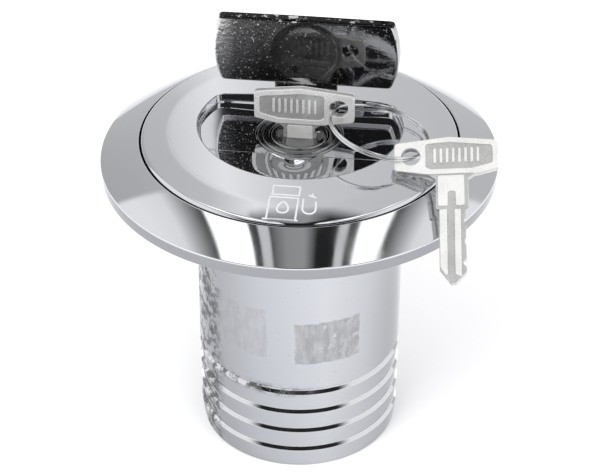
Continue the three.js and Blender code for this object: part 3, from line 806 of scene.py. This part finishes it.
# ---- lock ---------------------------------------------------------------------------------
def make_lock():
    points = [(7.05, -17.6, 0), (8.4, -17.6, 0.3), (8.4, 7.05, 0.1), (10.0, 7.05, 0.1), (10.0, 8.12, 0.22)]
    points += [(9.15, 8.12, 0.1), (9.05, 7.9, 0.08), (8.75, 7.9, 0.08), (8.65, 8.12, 0.1), (7.05, 8.12, 0.3)]
    barrel = spun("lock_barrel_ring", points, TURNED, 160)
    dress(barrel, LOCK_STEEL, "cap", ["lock_barrel"])
    points = [(0.01, -20.9, 0), (3.5, -20.9, 0.3), (3.5, -18, 0.1), (6.75, -18, 0.3), (6.75, 8.1, 0.3)]
    points += [(5.6, 8.1, 0.4), (3.2, 7.75, 0.6), (0.01, 7.75, 0)]
    plug = spun("lock_plug_face", points, TURNED, 160)
    cut_with(plug, block("keyway", (-4, -1.3, -17), (4, 1.3, 9), TURNED))
    dress(plug, LOCK_STEEL, "lock", ["lock_plug"])


# ---- keys ---------------------------------------------------------------------------------
BOW_NEAR, BOW_FAR, BOW_H, BOW_END_H = -10.6, 13.0, 9.6, 7.0
STEM_HALF, STEM_L, BLADE_HALF, BLADE_L = 3.7, 8.9, 3.0, 18.6
KEY_HOLE_U, KEY_HOLE_R = 9.3, 2.15
MID = -BOW_H / 2
RIBS = 8


def flat_piece(name, outlines, half, round_r, centre=0.0):
    """A flat piece with rounded edges from closed outlines, holes included, in the plane z = centre."""
    curve = bpy.data.curves.new(name, "CURVE")
    curve.dimensions = "2D"
    curve.fill_mode = "BOTH"
    curve.extrude = (half - round_r) * MM
    curve.bevel_depth = round_r * MM
    curve.bevel_resolution = 2
    curve.offset = -round_r * MM
    for outline in outlines:
        spline = curve.splines.new("POLY")
        spline.points.add(len(outline) - 1)
        for point, (u, v) in zip(spline.points, outline):
            point.co = (u * MM, v * MM, 0, 1)
        spline.use_cyclic_u = True
    holder = bpy.data.objects.new(name, curve)
    bpy.context.scene.collection.objects.link(holder)
    bpy.context.view_layer.update()
    mesh = bpy.data.meshes.new_from_object(holder.evaluated_get(bpy.context.evaluated_depsgraph_get()))
    bpy.data.objects.remove(holder)
    mesh.transform(Matrix.Translation((0, 0, centre * MM)))
    mesh.name = name
    obj = bpy.data.objects.new(name, mesh)
    bpy.context.scene.collection.objects.link(obj)
    return obj


def soft(outline, radius, steps=4):
    return rounded([(u, v, radius) for u, v in outline], steps)


def key_mesh(name):
    """A key lying flat: its base, then the raised rim, ribs, stem and strips on both faces."""
    end = BOW_END_H / 2
    bow = [(BOW_NEAR, MID - end), (0.5, -BOW_H), (BOW_FAR, MID - end)]
    bow += [(BOW_FAR, MID + end), (STEM_HALF + 1.6, 0)]
    bow_left = [(-STEM_HALF - 1.6, 0), (BOW_NEAR, MID + end)]
    blade = [(STEM_HALF, 1.2), (STEM_HALF, STEM_L), (BLADE_HALF, STEM_L)]
    blade += [(BLADE_HALF, STEM_L + BLADE_L - 3.6), (0.5, STEM_L + BLADE_L), (-0.5, STEM_L + BLADE_L)]
    blade += [(-BLADE_HALF, STEM_L + BLADE_L - 2.8)]
    for v, depth in ((13.6, 0.7), (8.2, 0.3), (3.2, 0.35)):
        blade += [(-BLADE_HALF, STEM_L + v + 1.0), (-BLADE_HALF + depth, STEM_L + v + 0.4)]
        blade += [(-BLADE_HALF + depth, STEM_L + v - 0.4), (-BLADE_HALF, STEM_L + v - 1.0)]
    blade += [(-BLADE_HALF, STEM_L + 0.4), (-STEM_HALF, STEM_L), (-STEM_HALF, 1.2)]
    outline = [(u, v, 0.9) for u, v in bow]
    outline += [(u, v, 0.35 if abs(u) > 3.3 else 0.15) for u, v in blade]
    outline += [(u, v, 0.9) for u, v in bow_left]
    outline = rounded(outline)
    hole = arc(KEY_HOLE_U, MID, KEY_HOLE_R, 0, 345, 23)
    base = flat_piece(name + "_base", [outline, hole], 0.62, 0.12)
    parts = []
    inner = [(BOW_NEAR + 1.3, MID - end + 1.2), (0.5, -BOW_H + 1.35)]
    inner += [(5.9, MID - end + 0.35), (5.9, MID + end - 0.6)]
    inner += [(STEM_HALF + 1.0, -1.3), (-STEM_HALF - 1.0, -1.3), (BOW_NEAR + 1.3, MID + end - 1.2)]
    rim = rounded([(u, v, 0.9) for u, v in bow] + [(u, v, 0.6) for u, v in bow_left])
    collar = arc(KEY_HOLE_U, MID, KEY_HOLE_R + 0.1, 0, 345, 23)
    for side in (1, -1):
        level = side * 0.72
        parts.append(flat_piece("rim", [rim, soft(inner, 0.7), collar], 0.18, 0.12, level))
        for k in range(RIBS):
            u = -6.3 + 1.4 * k
            bar = [(u, MID - 1.9), (u + 0.6, MID - 1.9), (u + 0.6, MID + 1.9), (u, MID + 1.9)]
            parts.append(flat_piece("bar", [soft(bar, 0.3)], 0.1, 0.07, level))
        low, notch = STEM_L - 0.7, STEM_L - 4.4
        stem = [(STEM_HALF - 0.5, 0.4), (STEM_HALF - 0.5, low), (1.0, low), (1.0, notch)]
        stem += [(-0.8, notch), (-0.8, low), (-STEM_HALF + 0.9, low), (-STEM_HALF + 0.9, 0.4)]
        parts.append(flat_piece("stem", [soft(stem, 0.4)], 0.2, 0.12, side * 0.68))
        strips = [(1.2, BLADE_HALF - 0.15, 3.4), (-1.9, -0.5, 1.6)]
        for u0, u1, short in strips:
            strip = [(u0, STEM_L + 0.2), (u1, STEM_L + 0.2)]
            strip += [(u1, STEM_L + BLADE_L - short - 0.6), (u0, STEM_L + BLADE_L - 1.4)]
            parts.append(flat_piece("strip", [soft(strip, 0.25)], 0.17, 0.12, side * 0.7))
    flat_faces = len(base.data.polygons)
    return join([base, *parts], name), flat_faces


def brighten_raised(key, flat_faces):
    """The raised parts follow the base's faces in the mesh and get the brighter nickel: painted light,
    against the darker base copy as painted shade.
    """
    key.data.materials.append(NICKEL.material)
    for face in key.data.polygons[flat_faces:]:
        face.material_index = 1


def make_keys():
    seat = KEY1_HOLE.z - BOW_H / 2
    lock_key, flat_faces = key_mesh("key_in_lock")
    upright = Matrix(((1, 0, 0, 0), (0, 0, 1, 0), (0, -1, 0, seat), (0, 0, 0, 1)))
    lock_key.data.transform(in_metres(TURNED @ upright))
    dress(lock_key, NICKEL_SUNK, "key_in_lock", ["key_1"])
    brighten_raised(lock_key, flat_faces)

    down = Vector((-0.02, -0.888, -0.459)).normalized()
    face = Vector((-0.122, -0.454, 0.883))
    face = (face - down * face.dot(down)).normalized()
    across = down.cross(face)
    origin = KEY2_HOLE - across * KEY_HOLE_U + down * (BOW_H / 2)
    spare, flat_faces = key_mesh("spare_key_blank")
    turn = Matrix((across, down, face)).transposed().to_4x4()
    spare.data.transform(in_metres(Matrix.Translation(origin) @ turn))
    dress(spare, NICKEL_SUNK, "spare_key", ["key_2"])
    brighten_raised(spare, flat_faces)


# ---- split ring ---------------------------------------------------------------------------
def make_ring():
    """A split ring of just under two turns of wire, with a short jog from one turn to the next."""
    radius, wire = 11.9, 0.32
    chord = KEY2_HOLE - KEY1_HOLE
    along = chord.normalized()
    wanted = Vector((0.25, 0.04, 0.967))
    normal = (wanted - along * wanted.dot(along)).normalized()
    out = normal.cross(along)
    centre = KEY1_HOLE + chord / 2 + out * math.sqrt(radius ** 2 - (chord.length / 2) ** 2)
    start = math.radians(200)
    turns, jog = 1.86, 0.14
    steps = 420
    loops = []
    for k in range(steps + 1):
        t = turns * k / steps
        a = start + 2 * math.pi * t
        lift = -0.325 + 0.65 * smooth_step(1 - jog, 1.0, t)
        radial = along * math.cos(a) + out * math.sin(a)
        middle = centre + radial * radius + normal * lift
        taper = 0.55 + 0.45 * smooth_step(0, 0.012, min(t, turns - t))
        loops.append([tuple(middle + (radial * math.cos(b) + normal * math.sin(b)) * wire * taper)
                      for b in (2 * math.pi * j / 14 for j in range(14))])
    ring = skin("split_ring_wire", loops)
    dress(ring, WIRE, "ring", ["key_ring"])


# ---- carried-over frame pieces ------------------------------------------------------------
def dress_frame():
    """Finishes for the CAD nodes that show as they are: turned steel unless named here."""
    finishes = {"lock_nut": BRASS, "cap_seal": RUBBER}
    replaced = ("deck_body", "cap_shell", "pull_plate", "lock_barrel", "lock_plug")
    replaced += ("key_1", "key_2", "key_ring")
    for name, node in frame["nodes"].items():
        if name in replaced:
            continue
        shader = finishes.get(name, BRASS if name.startswith("lock_wafer") else TURNED_STEEL)
        node.data.materials.clear()
        node.data.materials.append(shader.material)


# ---- stage --------------------------------------------------------------------------------
def make_stage():
    size = 2500
    z = NECK_END - 0.05
    corners = [(-size, -size, z), (size, -size, z), (size, size, z), (-size, size, z)]
    floor = add_object("floor", corners, [(0, 1, 2, 3)])
    paper = Shader("pale_floor", (0.9, 0.9, 0.905), 0.9, 0.0)
    paper.set("Base Color", paper.mix(paper.noise(8, 2), (0.895, 0.895, 0.9), (0.905, 0.905, 0.91)))
    paper.bsdf.inputs["Specular IOR Level"].default_value = 0.0
    floor.data.materials.append(paper.material)


LAMP_REACH = 0.6
LAMP_GAIN = 1.5


def make_world():
    """A studio drawn by direction: pale walls behind, lamp strips overhead and a dark front side.

    The polished metal's bands are reflections of it. The camera itself sees plain white.
    """
    world = bpy.data.worlds.new("studio")
    bpy.context.scene.world = world
    world.use_nodes = True
    nodes, links = world.node_tree.nodes, world.node_tree.links
    tool = Shader.__new__(Shader)
    tool.nodes, tool.links = nodes, links
    tool.place = nodes.new("ShaderNodeTexCoord").outputs["Generated"]
    x, y, z = tool.split()[:3]
    side = tool.math("ABSOLUTE", x)
    left = [(-0.6, 0.6), (-0.5, 0.55), (-0.44, 0.28), (-0.37, 0.012), (-0.358, 1.0), (-0.212, 1.0)]
    left += [(-0.203, 0.08), (-0.175, 0.03), (-0.165, 0.42), (-0.13, 0.42), (-0.12, 0.03)]
    middle = [(-0.11, 0.1), (-0.06, 0.2), (0.02, 0.22), (0.075, 0.012), (0.155, 0.012)]
    right = [(0.163, 0.42), (0.195, 0.42), (0.205, 0.03), (0.238, 0.1), (0.246, 1.0), (0.355, 1.0)]
    right += [(0.368, 0.012), (0.44, 0.28), (0.5, 0.55), (0.6, 0.6)]
    across = tool.math("MULTIPLY_ADD", x, 1 / (2 * LAMP_REACH), 0.5)
    stops = [((at + LAMP_REACH) / (2 * LAMP_REACH), tone) for at, tone in left + middle + right]
    lamps = tool.ramp(across, stops)
    lamps = tool.mix(1.0, (0.0, 0.0, 0.0), lamps)
    bright = nodes.new("ShaderNodeVectorMath")
    bright.operation = "SCALE"
    bright.inputs["Scale"].default_value = LAMP_GAIN
    links.new(lamps, bright.inputs[0])
    lamps = bright.outputs[0]
    tones = [(0.0, 0.45), (0.3, 0.6), (0.40, 0.93), (0.5, 0.68), (0.62, 0.62), (1.0, 0.55)]
    walls = tool.ramp(tool.span(x, -0.8, 0.8), tones)
    overhead = tool.span(y, 0.54, 0.5)
    sky = tool.mix(overhead, walls, lamps)
    front = tool.math("MULTIPLY", tool.span(y, -0.12, -0.3), tool.span(side, 0.75, 0.55))
    room = tool.ramp(side, [(0.135, 0.015), (0.15, 1.0), (0.285, 1.0), (0.31, 0.6)])
    room = tool.mix(tool.span(z, 0.66, 0.7), (0.02, 0.02, 0.022), room)
    sky = tool.mix(front, sky, room)
    gap = tool.math("MULTIPLY", tool.between(x, -0.04, 0.055, 0.003), tool.between(z, 0.452, 0.63, 0.008))
    gap = tool.math("MULTIPLY", gap, tool.span(y, 0.5, 0.6))
    sky = tool.mix(gap, sky, (0.012, 0.012, 0.013))
    path = nodes.new("ShaderNodeLightPath")
    even = tool.mix(path.outputs["Is Diffuse Ray"], sky, (0.95, 0.95, 0.97))
    seen = tool.mix(path.outputs["Is Camera Ray"], even, (1.0, 1.0, 1.0))
    background = nodes["Background"]
    links.new(seen, background.inputs["Color"])
    background.inputs["Strength"].default_value = 1.0


def area(name, place, size, power):
    """A soft lamp aimed at the origin that gives no highlight of its own."""
    light = bpy.data.lights.new(name, "AREA")
    light.size = size
    light.energy = power
    lamp = bpy.data.objects.new(name, light)
    lamp.location = place
    lamp.rotation_euler = (-Vector(place)).to_track_quat("-Z", "Y").to_euler()
    lamp.visible_glossy = False
    bpy.context.scene.collection.objects.link(lamp)


def make_camera():
    elevation = math.radians(35.29)
    distance = 0.5071
    target = Vector((0.00012, 0, -0.02205))
    camera = bpy.data.cameras.new("camera")
    camera.sensor_width = 36
    camera.lens = 124.3
    camera.clip_start = 0.01
    eye = bpy.data.objects.new("camera", camera)
    eye.location = target + distance * Vector((0, -math.cos(elevation), math.sin(elevation)))
    eye.rotation_euler = (math.pi / 2 - elevation, 0, 0)
    bpy.context.scene.collection.objects.link(eye)
    bpy.context.scene.camera = eye


make_camera()
make_body()
make_cap()
make_symbol()
make_plate()
make_lock()
make_keys()
make_ring()
dress_frame()
make_stage()
make_world()
area("key_light", (-0.35, -0.45, 0.75), 0.5, 6)
area("fill_light", (0.5, -0.3, 0.5), 0.6, 3)
bpy.context.scene.view_settings.view_transform = "Standard"
